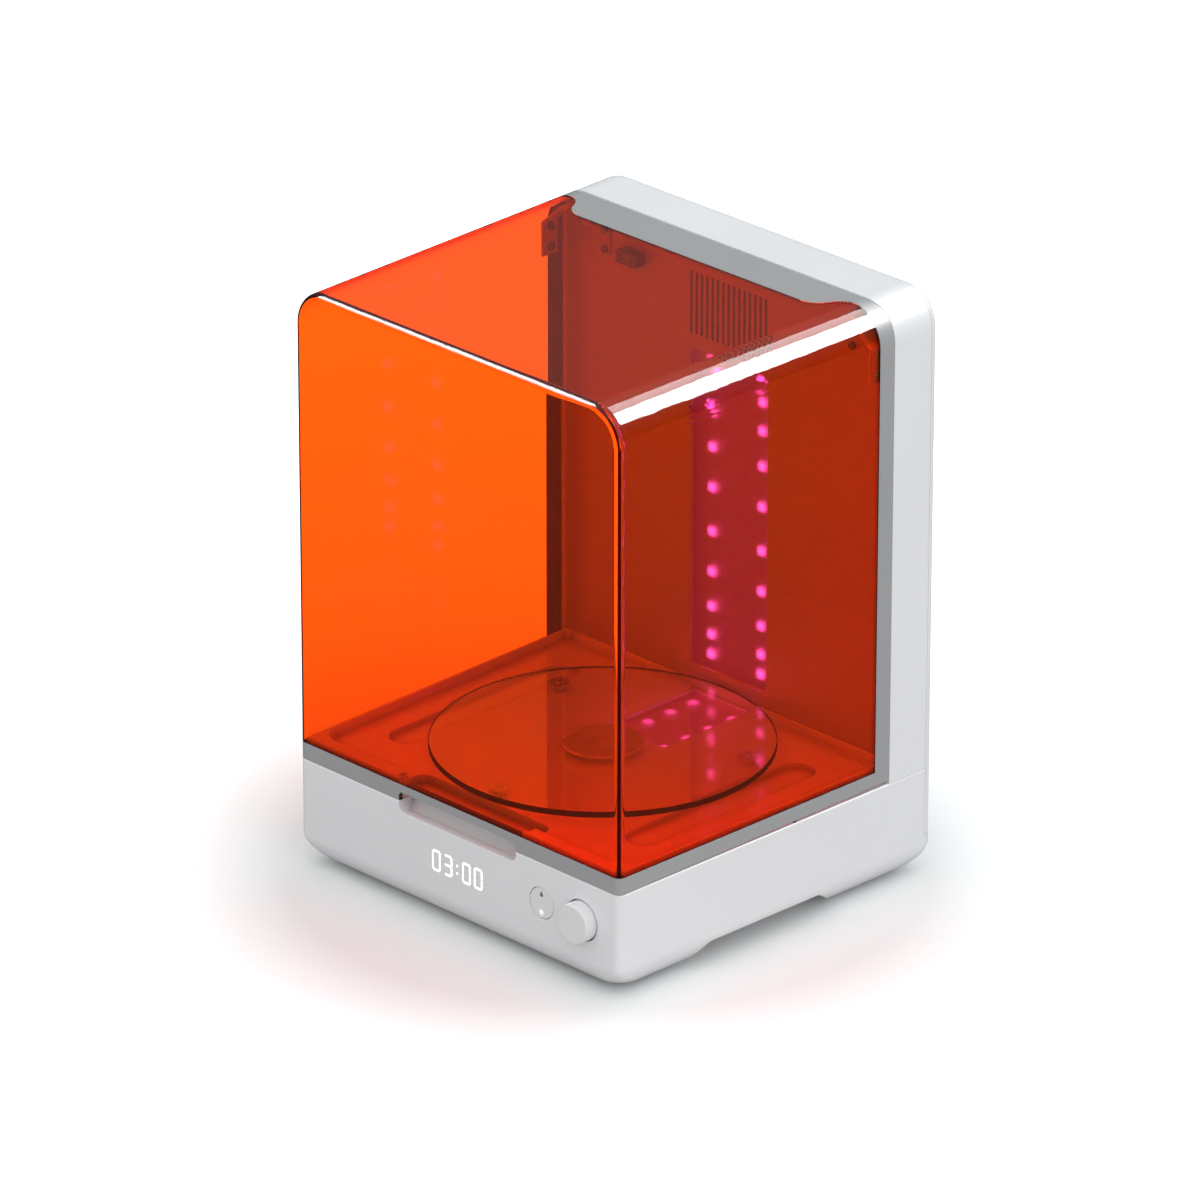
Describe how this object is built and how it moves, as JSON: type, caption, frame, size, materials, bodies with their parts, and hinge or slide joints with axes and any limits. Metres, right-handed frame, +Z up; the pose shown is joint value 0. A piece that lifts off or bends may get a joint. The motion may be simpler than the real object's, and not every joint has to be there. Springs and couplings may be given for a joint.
{
  "type": "light curing unit",
  "caption": "Desktop light curing unit with an amber lift-up cover, glass turntable, lamp chamber, front display, button and rotary knob, and a rear fan housing.",
  "frame": {"origin": "under the middle of the unit at the plane of the rubber feet", "axes": "X to the unit's right seen from the front, front faces -Y, +Z up"},
  "size_m": [0.2892, 0.2784, 0.3894],
  "materials": {
    "white_shell": "satin moulded",
    "border_grey": "satin",
    "tinted_amber": "clear tinted",
    "chamber_white": "satin reflective",
    "lamp_window": "clear",
    "clear_glass": "polished",
    "steel": "plain",
    "screw_steel": "plain",
    "alloy": "plain",
    "bearing_plastic": "matte",
    "motor_steel": "plain",
    "circuit_board": "lacquered",
    "lamp_chips": "clear domes",
    "black_plastic": "matte",
    "display_light": "lit",
    "control_white": "satin",
    "symbol_dark": "printed",
    "rubber": "matte"
  },
  "bodies": {
    "housing": {"base_shell": "white_shell", "rubber_feet": "rubber", "cover_bumpers": "rubber", "chamber_floor": "chamber_white", "floor_lamp_window": "lamp_window", "floor_lamp_board": "circuit_board", "floor_lamps": "lamp_chips", "support_pads": "steel", "spindle_bearing": "bearing_plastic", "turntable_motor": "motor_steel", "motor_bracket": "steel", "motor_screws": "screw_steel", "power_supply": "motor_steel", "drive_board": "circuit_board", "control_board": "circuit_board", "board_screws": "screw_steel", "display_module": "black_plastic", "display_digits": "display_light", "encoder_body": "black_plastic", "button_switch": "black_plastic", "rear_arch": "white_shell", "chamber_back_wall": "chamber_white", "back_lamp_window": "lamp_window", "back_lamp_board": "circuit_board", "back_lamps": "lamp_chips", "heat_sink": "alloy", "lid_sensor": "black_plastic", "lower_fan_frame": "black_plastic", "upper_fan_frame": "black_plastic", "fan_screws": "screw_steel", "rear_panel": "white_shell", "rear_panel_screws": "screw_steel", "power_inlet": "black_plastic", "power_switch_body": "black_plastic", "hinge_mount_left": "steel", "hinge_mount_right": "steel", "hinge_mount_screws": "screw_steel"},
    "cover": {"cover_frame": "border_grey", "cover_window": "tinted_amber", "cover_grip_lip": "tinted_amber", "hinge_bracket_left": "steel", "hinge_bracket_right": "steel", "hinge_pins": "steel", "hinge_bracket_screws": "screw_steel"},
    "turntable": {"turntable_glass": "clear_glass", "turntable_hub": "alloy", "turntable_gear": "bearing_plastic"},
    "pinion": {"motor_pinion": "bearing_plastic"},
    "encoder_rotor": {"encoder_rotor": "black_plastic"},
    "knob": {"encoder_shaft": "steel", "control_knob": "control_white"},
    "button": {"mode_button": "control_white", "button_symbols": "symbol_dark"},
    "rocker": {"power_switch_rocker": "black_plastic"},
    "lower_fan": {"lower_fan_rotor": "black_plastic"},
    "upper_fan": {"upper_fan_rotor": "black_plastic"}
  },
  "joints": [
    {"name": "cover_hinge", "type": "hinge", "parent": "housing", "child": "cover", "pos_m": [0, 0.0949, 0.38407], "axis": [-1, 0, 0], "range_deg": [0, 65]},
    {"name": "turntable_spin", "type": "hinge", "parent": "housing", "child": "turntable", "pos_m": [0, -0.0052, 0.0843], "axis": [0, 0, 1], "continuous": true},
    {"name": "pinion_spin", "type": "hinge", "parent": "housing", "child": "pinion", "pos_m": [0, -0.05182, 0.06], "axis": [0, 0, 1], "continuous": true},
    {"name": "knob_spin", "type": "hinge", "parent": "housing", "child": "encoder_rotor", "pos_m": [0.108, -0.124, 0.0452], "axis": [0, -1, 0], "continuous": true},
    {"name": "knob_press", "type": "slide", "parent": "encoder_rotor", "child": "knob", "axis": [0, 1, 0], "range_m": [0, 0.0008], "stiffness_N_per_m": 2500, "springref_m": -0.0012},
    {"name": "mode_button_press", "type": "slide", "parent": "housing", "child": "button", "axis": [0, 1, 0], "range_m": [0, 0.0006], "stiffness_N_per_m": 2500, "springref_m": -0.0008},
    {"name": "power_rocker", "type": "hinge", "parent": "housing", "child": "rocker", "pos_m": [-0.058, 0.1336, 0.05], "axis": [1, 0, 0], "range_deg": [0, 16]},
    {"name": "lower_fan_spin", "type": "hinge", "parent": "housing", "child": "lower_fan", "pos_m": [0, 0.127, 0.2], "axis": [0, 1, 0], "continuous": true},
    {"name": "upper_fan_spin", "type": "hinge", "parent": "housing", "child": "upper_fan", "pos_m": [0, 0.127, 0.338], "axis": [0, 1, 0], "continuous": true}
  ],
  "couplings": [
    {"joint": "pinion_spin", "follows": "turntable_spin", "ratio": -3.4286}
  ]
}
